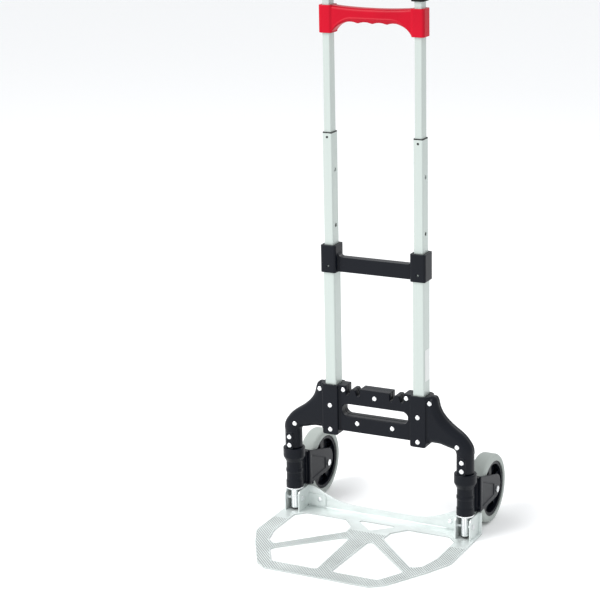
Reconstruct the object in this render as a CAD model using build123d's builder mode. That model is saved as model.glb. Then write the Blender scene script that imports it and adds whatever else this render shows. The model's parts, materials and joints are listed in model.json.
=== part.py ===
"""Folding hand truck with a telescoping mast.

Frame: +Z up, floor at Z 0, +Y towards the wheels, +X to the right when facing the toe plate.
The origin is on the floor, midway between the two legs, in the plane of the mast.
All sizes are in millimetres.
"""
import os
from math import atan2, degrees

from build123d import *

os.makedirs("parts", exist_ok=True)

SIDES = (("left", -1), ("right", 1))

# ---- mast: three nested pairs of rounded rectangular tubes -------------------------------------
mast_spacing = 172.0        # between the centre lines of the two tube stacks
outer_width = 22.0          # across, along X
outer_depth = 28.0          # front to back, along Y
tube_wall = 1.2
tube_corner = 3.0           # outside corner radius of the biggest tube
nest_gap = 0.8              # air between one tube and the next
slide_gap = 0.3             # air between a glide or bush and the tube that runs on it
seat_gap = 0.05             # a plug or sleeve that is pushed into place
outer_foot = 172.0          # bottom of the outer tubes
bracket_top = 522.0         # top of the mast bracket, which caps the outer tubes
middle_travel = 202.0       # how far the middle tubes slide
upper_travel = 172.0        # how far the upper tubes slide
middle_overlap = 118.0      # length of middle tube left inside the outer one at full height
upper_overlap = 90.0
handle_gap = 12.0           # between the release handle and the top handle
release_lift = 10.0         # travel of the release handle
stop_gap = 1.0              # between parts that come to rest on each other when folded
lip = 2.0                   # height of the bush that shows above a tube's end

tube_x = mast_spacing / 2
nest_step = 2 * (tube_wall + nest_gap)
middle_width, middle_depth = outer_width - nest_step, outer_depth - nest_step
upper_width, upper_depth = middle_width - nest_step, middle_depth - nest_step
middle_corner = tube_corner - 0.5
upper_corner = tube_corner - 1.0
middle_top = bracket_top + middle_travel
middle_foot = bracket_top - middle_overlap
upper_foot = middle_top - upper_overlap

# ---- handles -----------------------------------------------------------------------------------
collar_width = 25.0
collar_wall = 4.0           # front and back of the tube
release_height = 48.0
top_collar_height = 46.0
grip_height = 26.5
grip_depth = 24.0
grip_dip = 4.0              # how far the middle of a grip lies below its collars
finger_pitch = 27.0
finger_count = 4
finger_dip = 3.0
arch_rise = 15.0            # from the release collar's foot up to the finger waves

release_foot = middle_top + upper_travel + stop_gap
release_top = release_foot + release_height
top_handle_foot = release_top + handle_gap
top_handle_top = top_handle_foot + top_collar_height
upper_tube_top = top_handle_top - 3.0

# ---- mast bracket ------------------------------------------------------------------------------
bracket_height = 50.0
bracket_collar_width = 29.5
bracket_wall = 3.5
bracket_bar_height = 28.0
bracket_bar_depth = 16.0
bracket_fillet = 9.0

# ---- lower frame: two moulded half shells round the mast feet and the legs ----------------------
leg_x = 170.0
leg_radius = 8.0
leg_wall = 1.5
bar_bottom = 177.0
bar_top = 260.0
bar_depth = 13.0            # half thickness of the crossbar
box_bottom = 168.0
box_top = 263.0
box_wall = 4.5
shoulder_depth = 15.5       # half thickness of the arms that run out to the legs
shell_wall = 3.0
hand_hole_width = 130.0
hand_hole_height = 23.0
hand_hole_z = 217.0
hook_x = 43.0               # centre of each hook tongue on the crossbar's top edge
hook_width = 27.0           # across a tongue and the slot on each side of it
hook_depth = 15.0
hook_drop = 2.5             # of the tongue below the crossbar's top edge
hook_foot_slot = 4.5        # width of a slot at its foot
hook_tip = 8.0              # width of the tongue at its tip
leg_collar_radius = 16.0
leg_collar_foot = 127.5
leg_collar_top = 164.0
leg_top = 175.0
tab_width = 13.5
tab_top = 157.5
tab_face = 19.0             # distance of the rivet tab's face from the leg's axis
box_width = outer_width + 2 * 4.0
box_depth = outer_depth / 2 + box_wall

# ---- rivets and screws -------------------------------------------------------------------------
rivet_shank = 2.0
rivet_head = 4.4
rivet_rise = 1.8
hole_gap = 0.1

# ---- toe plate ---------------------------------------------------------------------------------
plate_width = 381.0
plate_front = 263.0         # from the leg axis to the front edge
plate_thickness = 3.0
rim_depth = 1.0             # the ribs round the edges stand this far below the panel
rim_width = 4.0
hinge_z = 25.0
flange_gap = 1.5            # between the wheels and the flange that folds under them
flange_wall = 3.0
flange_top = 43.0           # at the hinge brackets
flange_waist = 16.0         # at the middle
cheek_wall = 2.0
cheek_gap = 5.0             # from the leg tube to a cheek of the hinge bracket
cheek_reach = 14.0          # in front of the hinge
cheek_top = 43.5
ear_length = 36.0
hinge_pin_radius = 3.0
running_gap = 0.05

flange_rivet_places = ((131.0, 18.0), (leg_x, 15.0))
flange_inner = hinge_z + flange_gap
flange_outer = flange_inner + flange_wall
cheek_inner = leg_radius + cheek_gap

# ---- wheels and their swivel brackets ----------------------------------------------------------
wheel_radius = 63.5
wheel_width = 30.0
tread_thickness = 12.5
wheel_trail = 99.6          # from the leg axis back to the axle
axle_radius = 4.0
wheel_bush_radius = 7.0
hub_radius = 13.0
spoke_count = 5
spoke_width = 13.0
web_wall = 2.4              # the disc that closes the wheel between its spokes
web_depth = 16.0
fork_gap = 2.0              # between the tyre and a cheek
fork_wall = 4.0
fork_foot = 46.5
fork_root = 22.0
fork_root_top = 113.5
fork_end_radius = 22.0
fork_end_height = 70.0
swivel_foot = 49.0
swivel_top = leg_collar_foot - 0.5
lower_ring_top = 61.0
waist_top = 78.0
upper_ring_top = 84.0
neck_top = 99.0
shoulder_foot = 109.0
ring_slope = 1.5
swivel_wide = 20.25
swivel_neck = 15.0
swivel_ring = 16.0
swivel_bush_wall = 3.0
washer_thickness = 2.4
peg_radius = 3.0
peg_trail = 34.0
foot_gap = 2.0              # between the plate and a leg's foot cap
foot_cap = 3.0
peg_gap = 0.8               # between the peg and the flange that passes under it

# ---- locks and release gear --------------------------------------------------------------------
lock_pin_radius = 3.0
lock_stroke = 3.0
lock_height = 22.0          # of a lock pin above the foot of its tube
second_hole_drop = 100.0    # the lower locking position of the upper tubes
rod_radius = 2.5
rod_y = -5.0
rod_plate = 2.0
spring_wire = 0.5
spring_radius = 3.2
spring_length = 30.0
spring_turns = 8


def on_face(x, y, z):
    """A place for a rivet or pin, with its own Z turned to point along -Y."""
    return Location((x, y, z), (90, 0, 0))


def along_x(x, y, z):
    """A place for a pin, with its own Z turned to point along +X."""
    return Location((x, y, z), (0, 90, 0))


def tube(width, depth, corner, foot, top):
    """Add one straight run of rounded rectangular tube at the current place."""
    with BuildSketch(Plane.XY.offset(foot)) as section:
        with Locations((tube_x * side, 0)):
            RectangleRounded(width, depth, corner)
            RectangleRounded(
                width - 2 * tube_wall, depth - 2 * tube_wall, corner - tube_wall, mode=Mode.SUBTRACT
            )
    extrude(section.sketch, amount=top - foot)


def block(width, depth, corner, foot, top, mode=Mode.ADD, x=None):
    """Add or cut a rounded rectangular block on a mast tube's centre line."""
    with BuildSketch(Plane.XY.offset(foot)) as section:
        with Locations((tube_x * side if x is None else x, 0)):
            RectangleRounded(width, depth, corner)
    extrude(section.sketch, amount=top - foot, mode=mode)


def rivet_through(x, z, face, back):
    """Add one rivet from its head at y = -face to its set end at y = back."""
    with Locations(on_face(x, (back - face) / 2, z)):
        Cylinder(rivet_shank, face + back)
    with Locations(on_face(x, -face - rivet_rise / 2, z)):
        Cone(rivet_head, rivet_head * 0.6, rivet_rise)
    with Locations(on_face(x, back + rivet_rise / 2, z)):
        Cone(rivet_head * 0.6, rivet_head, rivet_rise)


def blind_rivet(x, z, face, depth):
    """Add a pair of short rivets, front and back, that end flush inside a tube's wall."""
    for way in (-1, 1):
        with Locations(on_face(x, way * (face - depth / 2), z)):
            Cylinder(rivet_shank, depth)
        with Locations(on_face(x, way * (face + rivet_rise / 2), z)):
            if way < 0:
                Cone(rivet_head, rivet_head * 0.6, rivet_rise)
            else:
                Cone(rivet_head * 0.6, rivet_head, rivet_rise)


# ================================ lower frame ===================================================
box_rivets = [(tube_x * s, z) for s in (-1, 1) for z in (box_bottom + 10, box_bottom + 56)]
bar_rivets = [(-34.5, 194.0), (34.5, 194.0), (0.0, 246.0), (-62.0, 255.0), (62.0, 255.0)]
arm_rivets = [(s * x, z) for s in (-1, 1) for x, z in ((107.5, 252.0), (160.0, 177.5))]
leg_rivets = [(s * leg_x, z) for s in (-1, 1) for z in (151.0, 135.0)]

for shell_name, facing in (("frame_front_shell", 1), ("frame_rear_shell", -1)):
    with BuildPart() as shell:
        # crossbar
        with BuildSketch(Plane.XZ):
            with BuildLine():
                inner = tube_x - outer_width / 2
                Polyline((0, bar_bottom), (inner, bar_bottom), (inner, bar_top + 3), (57, bar_top + 3))
                Line((57, bar_top + 3), (54, bar_top))
                Line((54, bar_top), (0, bar_top))
                Line((0, bar_top), (0, bar_bottom))
            make_face()
            mirror(about=Plane.YZ)
            for s in (-1, 1):
                hook_foot = bar_top - hook_depth
                tongue = hook_width - 2 * hook_foot_slot
                with Locations((s * hook_x, bar_top)):
                    RectangleRounded(hook_width, 2 * hook_depth, 2, mode=Mode.SUBTRACT)
                with BuildSketch(Plane.XZ, mode=Mode.PRIVATE) as hook:
                    with BuildLine():
                        FilletPolyline(
                            (s * hook_x - tongue / 2, hook_foot - 1), (s * hook_x + tongue / 2, hook_foot - 1),
                            (s * hook_x + hook_tip / 2, bar_top - hook_drop),
                            (s * hook_x - hook_tip / 2, bar_top - hook_drop),
                            radius=[0, 0, hook_tip / 2 - 0.7, hook_tip / 2 - 0.7], close=True,
                        )
                    make_face()
                add(hook.sketch)
            with Locations((0, hand_hole_z)):
                RectangleRounded(
                    hand_hole_width, hand_hole_height, hand_hole_height / 2 - 0.5, mode=Mode.SUBTRACT
                )
        extrude(amount=facing * bar_depth)
        # arms out to the legs
        for s in (-1, 1):
            with BuildSketch(Plane.XZ):
                with BuildLine():
                    Line((s * 96, 176), (s * 96, box_top))
                    Line((s * 96, box_top), (s * 113, box_top))
                    Spline(
                        (s * 113, box_top), (s * 121, 246), (s * 133, 225), (s * 153, 208.5),
                        (s * 169, 197), (s * 180, 184), (s * (leg_x + leg_collar_radius), leg_collar_top),
                        tangents=((s * 1, -0.4), (0, -1)),
                    )
                    Line(
                        (s * (leg_x + leg_collar_radius), leg_collar_top),
                        (s * (leg_x - leg_collar_radius), leg_collar_top),
                    )
                    Spline(
                        (s * (leg_x - leg_collar_radius), leg_collar_top), (s * 146, 170.5),
                        (s * 130, 174.5), (s * 96, 176),
                        tangents=((0, 1), (-s, 0)),
                    )
                make_face()
            extrude(amount=facing * shoulder_depth)
        # boxes round the feet of the mast
        for s in (-1, 1):
            with BuildSketch(Plane.XZ):
                with Locations((s * tube_x, (box_bottom + box_top) / 2)):
                    RectangleRounded(box_width, box_top - box_bottom, 3)
            extrude(amount=facing * box_depth)
            # collar round the leg, with its rivet tab in front
            with BuildSketch(Plane.XY.offset(leg_collar_foot)):
                with Locations((s * leg_x, 0)):
                    Circle(leg_collar_radius)
                    with Locations((0, -facing * leg_collar_radius)):
                        Rectangle(
                            4 * leg_collar_radius, 2 * leg_collar_radius, mode=Mode.INTERSECT
                        )
            extrude(amount=leg_collar_top - leg_collar_foot + 6)
            with BuildSketch(Plane.XY.offset(leg_collar_foot)):
                with Locations((s * leg_x, -facing * tab_face / 2)):
                    Rectangle(tab_width, tab_face)
            extrude(amount=tab_top - leg_collar_foot)
        # pockets that leave a thin moulded wall
        with BuildSketch(Plane.XZ):
            with Locations((0, 191)):
                Rectangle(2 * 66, 18)
            with Locations((0, 238)):
                Rectangle(2 * 50, 10)
            for s in (-1, 1):
                with Locations((s * 117, 190)):
                    Rectangle(18, 20)
                with Locations((s * 115, 215)):
                    Rectangle(14, 24)
        extrude(amount=facing * (bar_depth - shell_wall), mode=Mode.SUBTRACT)
        for x, z in bar_rivets[:3]:
            with Locations(on_face(x, -facing * bar_depth / 2, z)):
                Cylinder(rivet_head, bar_depth)
        # seats for the mast tubes, the legs and every rivet
        for s in (-1, 1):
            block(
                outer_width + 2 * seat_gap, outer_depth + 2 * seat_gap, tube_corner,
                outer_foot, box_top + 1, mode=Mode.SUBTRACT, x=s * tube_x,
            )
            with Locations((s * leg_x, 0, (leg_collar_foot + leg_top) / 2)):
                Cylinder(leg_radius + seat_gap, leg_top - leg_collar_foot + 0.1, mode=Mode.SUBTRACT)
        for x, z in bar_rivets + arm_rivets + box_rivets + leg_rivets:
            with Locations(on_face(x, 0, z)):
                Cylinder(rivet_shank + hole_gap, 3 * box_depth, mode=Mode.SUBTRACT)
    shell.part.label = shell_name
    export_step(shell.part, f"parts/{shell_name}.step")

for group, places, face in (
    ("crossbar_rivets", bar_rivets, bar_depth),
    ("arm_rivets", arm_rivets, shoulder_depth),
    ("mast_foot_rivets", box_rivets, box_depth),
    ("leg_rivets", leg_rivets, tab_face),
):
    with BuildPart() as rivets:
        for x, z in places:
            if group == "mast_foot_rivets":
                blind_rivet(x, z, face, box_wall + tube_wall)
            else:
                rivet_through(x, z, face, face)
    rivets.part.label = group
    export_step(rivets.part, f"parts/{group}.step")

# ================================ mast bracket ==================================================
bracket_foot = bracket_top - bracket_height
bracket_collar_depth = outer_depth + 2 * bracket_wall
with BuildPart() as mast_bracket:
    for s in (-1, 1):
        block(
            bracket_collar_width, bracket_collar_depth, tube_corner + 1.5,
            bracket_foot, bracket_top, x=s * tube_x,
        )
    with BuildSketch(Plane.XZ.offset(-bracket_bar_depth / 2)):
        collar_edge = tube_x - bracket_collar_width / 2
        bar_z = bracket_foot + bracket_bar_height
        with BuildLine():
            Line((0, bracket_foot + 1), (collar_edge + 1, bracket_foot + 1))
            Line((collar_edge + 1, bracket_foot + 1), (collar_edge + 1, bar_z + bracket_fillet))
            Line((collar_edge + 1, bar_z + bracket_fillet), (collar_edge, bar_z + bracket_fillet))
            RadiusArc(
                (collar_edge, bar_z + bracket_fillet), (collar_edge - bracket_fillet, bar_z),
                bracket_fillet,
            )
            Line((collar_edge - bracket_fillet, bar_z), (0, bar_z))
            Line((0, bar_z), (0, bracket_foot + 1))
        make_face()
        mirror(about=Plane.YZ)
    extrude(amount=bracket_bar_depth)
    for s in (-1, 1):
        block(
            outer_width + 2 * seat_gap, outer_depth + 2 * seat_gap, tube_corner,
            bracket_foot, bracket_top, mode=Mode.SUBTRACT, x=s * tube_x,
        )
        with Locations(on_face(s * tube_x, 0, bracket_foot + 12)):
            Cylinder(rivet_shank + hole_gap, 3 * bracket_collar_depth, mode=Mode.SUBTRACT)
mast_bracket.part.label = "mast_bracket"
export_step(mast_bracket.part, "parts/mast_bracket.step")

with BuildPart() as bracket_screws:
    for s in (-1, 1):
        reach = bracket_collar_depth / 2 + 0.2 - (outer_depth / 2 - tube_wall)
        with Locations(on_face(s * tube_x, bracket_collar_depth / 2 + 0.2 - reach / 2, bracket_foot + 12)):
            Cylinder(rivet_shank, reach)
        with Locations(on_face(s * tube_x, bracket_collar_depth / 2 + 0.9, bracket_foot + 12)):
            Cylinder(rivet_head, 1.4)
bracket_screws.part.label = "bracket_screws"
export_step(bracket_screws.part, "parts/bracket_screws.step")

# ================================ mast tubes ====================================================
upper_lock_z = upper_foot + lock_height
middle_lock_z = middle_foot + lock_height
cross_pin_radius = 1.5
cross_pin_z = release_foot + release_height / 2
prong_foot = top_handle_foot + 5.0
handle_screw_z = top_handle_foot + collar_width
collar_depth = upper_depth + 2 * collar_wall


def wall_hole(radius, z, outward):
    """Cut a round hole in the +X (1) or -X (-1) wall of the tube, or in both (0)."""
    with Locations(along_x(side * tube_x + outward * outer_width, 0, z)):
        Cylinder(radius, 2 * outer_width, mode=Mode.SUBTRACT)


def back_hole(radius, z):
    """Cut a round hole in the back wall of the tube."""
    with Locations(on_face(side * tube_x, outer_depth, z)):
        Cylinder(radius, 2 * outer_depth, mode=Mode.SUBTRACT)


def glide(name, width, depth, corner, foot):
    """Make the plug in the foot of a sliding tube, with its guide flange and its bore for a pin."""
    inner_width, inner_depth = width - 2 * tube_wall, depth - 2 * tube_wall
    with BuildPart() as plug:
        block(
            inner_width - 2 * seat_gap, inner_depth - 2 * seat_gap, corner - tube_wall,
            foot, foot + 1.5 * lock_height,
        )
        block(
            width + 2 * nest_gap - 2 * slide_gap, depth + 2 * nest_gap - 2 * slide_gap,
            corner, foot - 2 * lip, foot,
        )
        with Locations(along_x(side * tube_x, 0, foot + lock_height)):
            Cylinder(lock_pin_radius + running_gap, 2 * width, mode=Mode.SUBTRACT)
        if name == "upper":
            # room for the foot of the release rod and for the peg on the lock pin
            with Locations((side * tube_x, -depth / 2 - lock_pin_radius - slide_gap, foot + lock_height)):
                Box(inner_width - 1, depth, 1.5 * lock_height, mode=Mode.SUBTRACT)
            with Locations((side * tube_x, -lock_pin_radius, foot + lock_height)):
                Box(3 * lock_stroke, lock_pin_radius, 1.2 * lock_pin_radius, mode=Mode.SUBTRACT)
    node = f"{name}_glide_{side_name}"
    plug.part.label = node
    export_step(plug.part, f"parts/{node}.step")


def bush(name, width, depth, corner, top):
    """Make the sleeve in a tube's mouth that the next tube slides through."""
    with BuildPart() as sleeve:
        block(width - 2 * tube_wall, depth - 2 * tube_wall, corner - tube_wall, top - 30, top)
        block(width, depth, corner, top, top + lip)
        inside = 2 * tube_wall + 2 * nest_gap - 2 * slide_gap
        block(width - inside, depth - inside, corner - 0.5, top - 30, top + lip, mode=Mode.SUBTRACT)
    node = f"{name}_bush_{side_name}"
    sleeve.part.label = node
    export_step(sleeve.part, f"parts/{node}.step")


for side_name, side in SIDES:
    x = side * tube_x
    with BuildPart() as outer_tube:
        tube(outer_width, outer_depth, tube_corner, outer_foot, bracket_top - lip)
        for _, z in box_rivets[:2]:
            with Locations(on_face(x, 0, z)):
                Cylinder(rivet_shank + hole_gap, 2 * outer_depth, mode=Mode.SUBTRACT)
        back_hole(rivet_shank + hole_gap, bracket_foot + 12)
        wall_hole(lock_pin_radius + 2 * slide_gap, middle_lock_z, -1)
    outer_tube.part.label = f"outer_tube_{side_name}"
    export_step(outer_tube.part, f"parts/outer_tube_{side_name}.step")

    with BuildPart() as middle_tube:
        tube(middle_width, middle_depth, middle_corner, middle_foot, middle_top - lip)
        for z in (upper_lock_z, upper_lock_z - second_hole_drop):
            wall_hole(lock_pin_radius + 2 * slide_gap, z, 0)
        wall_hole(lock_pin_radius + slide_gap, middle_lock_z, -1)
    middle_tube.part.label = f"middle_tube_{side_name}"
    export_step(middle_tube.part, f"parts/middle_tube_{side_name}.step")

    with BuildPart() as upper_tube:
        tube(upper_width, upper_depth, upper_corner, upper_foot, upper_tube_top)
        wall_hole(lock_pin_radius + slide_gap, upper_lock_z, 1)
        slot = 2 * (cross_pin_radius + slide_gap)
        with Locations((x, rod_y, cross_pin_z + release_lift / 2)):
            Box(2 * upper_width, slot, release_lift + slot, mode=Mode.SUBTRACT)
        back_hole(1.5 + hole_gap, handle_screw_z)
    upper_tube.part.label = f"upper_tube_{side_name}"
    export_step(upper_tube.part, f"parts/upper_tube_{side_name}.step")

    bush("outer", outer_width, outer_depth, tube_corner, bracket_top - lip)
    bush("middle", middle_width, middle_depth, middle_corner, middle_top - lip)
    glide("middle", middle_width, middle_depth, middle_corner, middle_foot)
    glide("upper", upper_width, upper_depth, upper_corner, upper_foot)

    with BuildPart() as lock_pin:
        tip = middle_width / 2 - tube_wall - slide_gap
        length = tip + 2.2
        with Locations(along_x(x + tip - length / 2, 0, upper_lock_z)):
            Cylinder(lock_pin_radius, length)
        with Locations(on_face(x + 2, rod_y / 2 - 0.7, upper_lock_z)):
            Cylinder(1.2, abs(rod_y) + 1.4)
    lock_pin.part.label = f"upper_lock_pin_{side_name}"
    export_step(lock_pin.part, f"parts/upper_lock_pin_{side_name}.step")

    with BuildPart() as middle_pin:
        tip = outer_width / 2 - tube_wall - slide_gap
        length = tip + 2.2
        with Locations(along_x(x - tip + length / 2, 0, middle_lock_z)):
            Cylinder(lock_pin_radius, length)
        with Locations(along_x(x - tip + length - 4, 0, middle_lock_z)):
            Cylinder(2.1, 8, mode=Mode.SUBTRACT)
    middle_pin.part.label = f"middle_lock_pin_{side_name}"
    export_step(middle_pin.part, f"parts/middle_lock_pin_{side_name}.step")

    with BuildPart() as release_rod:
        rod_foot = upper_foot + 1.5 * lock_height + 2
        with Locations((x, rod_y, (rod_foot + cross_pin_z + 6) / 2)):
            Cylinder(rod_radius, cross_pin_z + 6 - rod_foot)
        plate_foot = upper_lock_z - release_lift - 5
        with BuildSketch(Plane.XZ.offset(-rod_y - rod_plate / 2)):
            with Locations((x, (plate_foot + rod_foot + 1) / 2)):
                Rectangle(9.6, rod_foot + 1 - plate_foot)
            tilt = degrees(atan2(release_lift, lock_stroke))
            with Locations(Location((x + 2 - lock_stroke / 2, upper_lock_z - release_lift / 2), tilt)):
                SlotCenterToCenter(
                    (release_lift**2 + lock_stroke**2) ** 0.5, 2 * (1.2 + 0.25), mode=Mode.SUBTRACT
                )
        extrude(amount=rod_plate)
        with Locations(along_x(x, rod_y, cross_pin_z)):
            Cylinder(cross_pin_radius + seat_gap, 4 * rod_radius, mode=Mode.SUBTRACT)
    release_rod.part.label = f"release_rod_{side_name}"
    export_step(release_rod.part, f"parts/release_rod_{side_name}.step")

with BuildPart() as mast_plugs:
    for _, side in SIDES:
        block(
            outer_width - 2 * tube_wall, outer_depth - 2 * tube_wall, tube_corner - tube_wall,
            outer_foot, outer_foot + 3,
        )
mast_plugs.part.label = "mast_plugs"
export_step(mast_plugs.part, "parts/mast_plugs.step")

with BuildPart() as blank_label:
    with BuildSketch(Plane.YZ.offset(tube_x + outer_width / 2)):
        with Locations((0, 318)):
            RectangleRounded(outer_depth - 8, 58, 2)
    extrude(amount=0.25)
blank_label.part.label = "blank_label"
export_step(blank_label.part, "parts/blank_label.step")

with BuildPart() as lock_springs:
    for _, side in SIDES:
        start = side * tube_x + middle_width / 2 - tube_wall
        for turn in range(spring_turns):
            with Locations(along_x(start - 0.5 - turn * 1.2, 0, middle_lock_z)):
                Torus(1.5, 0.35)
lock_springs.part.label = "lock_springs"
export_step(lock_springs.part, "parts/lock_springs.step")

with BuildPart() as return_springs:
    spring_foot = cross_pin_z + 6
    coil_step = (prong_foot - spring_foot - 2 * spring_wire) / spring_turns
    for _, side in SIDES:
        for turn in range(spring_turns + 1):
            with Locations((side * tube_x, rod_y, spring_foot + spring_wire + turn * coil_step)):
                Torus(spring_radius, spring_wire)
return_springs.part.label = "return_springs"
export_step(return_springs.part, "parts/return_springs.step")


# ================================ handles =======================================================
def grip_bar(edge_top, middle_top_z, edge_foot, waist):
    """Add the bar of a grip between its two collars, with finger waves along its underside."""
    edge = tube_x - collar_width / 2 + 1
    reach = finger_pitch * finger_count / 2
    with BuildSketch(Plane.XZ.offset(-grip_depth / 2)) as outline_face:
        with BuildLine():
            ThreePointArc((-edge, edge_top), (0, middle_top_z), (edge, edge_top))
            Line((edge, edge_top), (edge, edge_foot))
            for finger in range(finger_count):
                start = reach - finger * finger_pitch
                crest = (start - finger_pitch / 2, waist + finger_dip)
                ThreePointArc((start, waist), crest, (start - finger_pitch, waist))
            for s in (-1, 1):
                if edge_foot < waist:
                    bend = (s * (edge + reach) / 2, (edge_foot + waist) / 2 + 2.5)
                    ThreePointArc((s * edge, edge_foot), bend, (s * reach, waist))
                else:
                    Line((s * edge, edge_foot), (s * reach, waist))
            Line((-edge, edge_foot), (-edge, edge_top))
        make_face()
    extrude(outline_face.sketch, amount=grip_depth)


with BuildPart() as release_handle:
    grip_bar(release_top - 1, release_top - grip_dip, release_foot + 2,
             release_top - grip_dip - grip_height)
    fillet(
        release_handle.faces().filter_by(Axis.Y).edges().filter_by(
            lambda edge: edge.length > 2 * tube_x - 2 * collar_width
        ), 5
    )
    for _, side in SIDES:
        block(collar_width, collar_depth, 5, release_foot, release_top)
        block(
            upper_width + 2 * slide_gap, upper_depth + 2 * slide_gap, upper_corner + slide_gap,
            release_foot, release_top, mode=Mode.SUBTRACT,
        )
        with Locations(along_x(side * tube_x, rod_y, cross_pin_z)):
            Cylinder(cross_pin_radius + seat_gap, collar_width - 2, mode=Mode.SUBTRACT)
release_handle.part.label = "release_handle"
export_step(release_handle.part, "parts/release_handle.step")

with BuildPart() as release_cross_pins:
    for _, side in SIDES:
        with Locations(along_x(side * tube_x, rod_y, cross_pin_z)):
            Cylinder(cross_pin_radius, collar_width - 2)
release_cross_pins.part.label = "release_cross_pins"
export_step(release_cross_pins.part, "parts/release_cross_pins.step")

with BuildPart() as top_handle:
    bar_crown = top_handle_top - grip_dip
    bar_waist = bar_crown - grip_height
    grip_bar(bar_crown, bar_crown - 1, bar_waist, bar_waist)
    fillet(
        top_handle.faces().filter_by(Axis.Y).edges().filter_by(
            lambda edge: edge.length > 2 * tube_x - 2 * collar_width
        ), 5
    )
    for _, side in SIDES:
        block(collar_width, collar_depth, 5, top_handle_foot, top_handle_top)
        block(
            upper_width + 2 * seat_gap, upper_depth + 2 * seat_gap, upper_corner,
            top_handle_foot, upper_tube_top + seat_gap, mode=Mode.SUBTRACT,
        )
        block(
            upper_width - 2 * tube_wall - 2 * seat_gap, upper_depth - 2 * tube_wall - 2 * seat_gap,
            upper_corner - tube_wall, prong_foot, upper_tube_top + 1,
        )
        with Locations(on_face(side * tube_x, collar_depth / 2, handle_screw_z)):
            Cylinder(1.5 + hole_gap, collar_depth - 4, mode=Mode.SUBTRACT)
top_handle.part.label = "top_handle"
export_step(top_handle.part, "parts/top_handle.step")

with BuildPart() as handle_screws:
    for _, side in SIDES:
        with Locations(on_face(side * tube_x, collar_depth / 2 - 5, handle_screw_z)):
            Cylinder(1.5, 10)
        with Locations(on_face(side * tube_x, collar_depth / 2 + 0.7, handle_screw_z)):
            Cylinder(3.2, 1.4)
handle_screws.part.label = "handle_screws"
export_step(handle_screws.part, "parts/handle_screws.step")

# ================================ legs ==========================================================
foot_floor = plate_thickness + foot_gap
for side_name, side in SIDES:
    with BuildPart() as leg_tube:
        with BuildSketch(Plane.XY.offset(foot_floor + foot_cap)):
            with Locations((side * leg_x, 0)):
                Circle(leg_radius)
                Circle(leg_radius - leg_wall, mode=Mode.SUBTRACT)
        extrude(amount=leg_top - foot_floor - foot_cap)
        with Locations(along_x(side * leg_x, 0, hinge_z)):
            Cylinder(hinge_pin_radius + running_gap, 4 * leg_radius, mode=Mode.SUBTRACT)
        for _, z in leg_rivets[:2]:
            with Locations(on_face(side * leg_x, 0, z)):
                Cylinder(rivet_shank + hole_gap, 4 * leg_radius, mode=Mode.SUBTRACT)
    leg_tube.part.label = f"leg_tube_{side_name}"
    export_step(leg_tube.part, f"parts/leg_tube_{side_name}.step")

with BuildPart() as leg_foot_caps:
    for _, side in SIDES:
        with BuildSketch(Plane.XY.offset(foot_floor)):
            with Locations((side * leg_x, 0)):
                Circle(leg_radius)
        extrude(amount=foot_cap)
        with BuildSketch(Plane.XY.offset(foot_floor + foot_cap)):
            with Locations((side * leg_x, 0)):
                Circle(leg_radius - leg_wall - seat_gap)
        extrude(amount=8)
    chamfer(leg_foot_caps.faces().group_by(Axis.Z)[0].edges(), 1.5)
leg_foot_caps.part.label = "leg_foot_caps"
export_step(leg_foot_caps.part, "parts/leg_foot_caps.step")

with BuildPart() as swivel_washers:
    for _, side in SIDES:
        with BuildSketch(Plane.XY.offset(swivel_foot - slide_gap - washer_thickness)):
            with Locations((side * leg_x, 0)):
                Circle(swivel_ring + 0.5)
                Circle(leg_radius + seat_gap, mode=Mode.SUBTRACT)
        extrude(amount=washer_thickness)
swivel_washers.part.label = "swivel_washers"
export_step(swivel_washers.part, "parts/swivel_washers.step")

# ================================ toe plate =====================================================
half = plate_width / 2
outline_half = [(half, flange_outer), (half, -118), (166, -170), (122, -246), (100, -plate_front)]
outline = outline_half + [(-x, y) for x, y in reversed(outline_half)]
outline_radii = [0, 30, 30, 12, 12, 12, 12, 30, 30, 0]
side_hole = [
    (160, -26), (160, -106), (150, -147), (133, -161), (37, -62), (38.5, -36), (61.5, -9), (142, -9)
]
side_hole_radii = [5, 20, 10, 8, 8, 8, 6, 6]
front_hole = [(19, -78), (129, -183), (102, -230), (13.5, -230)]
front_hole_radii = [8, 10, 8, 5]
spoke_window = [(41, -3), (0, -40), (-41, -3)]


def plate_holes(grow=0.0):
    """Draw the five openings of the toe plate, each wider all round by the given amount."""
    for s in (-1, 1):
        for corners, radii in ((side_hole, side_hole_radii), (front_hole, front_hole_radii)):
            with BuildSketch(mode=Mode.PRIVATE) as opening:
                with BuildLine():
                    FilletPolyline(*[(s * x, y) for x, y in corners], radius=radii, close=True)
                make_face()
                if grow:
                    offset(amount=grow, mode=Mode.REPLACE)
            add(opening.sketch, mode=Mode.SUBTRACT)
    with BuildSketch(mode=Mode.PRIVATE) as opening:
        with BuildLine():
            FilletPolyline(*spoke_window, radius=4, close=True)
        make_face()
        if grow:
            offset(amount=grow, mode=Mode.REPLACE)
    add(opening.sketch, mode=Mode.SUBTRACT)


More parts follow.
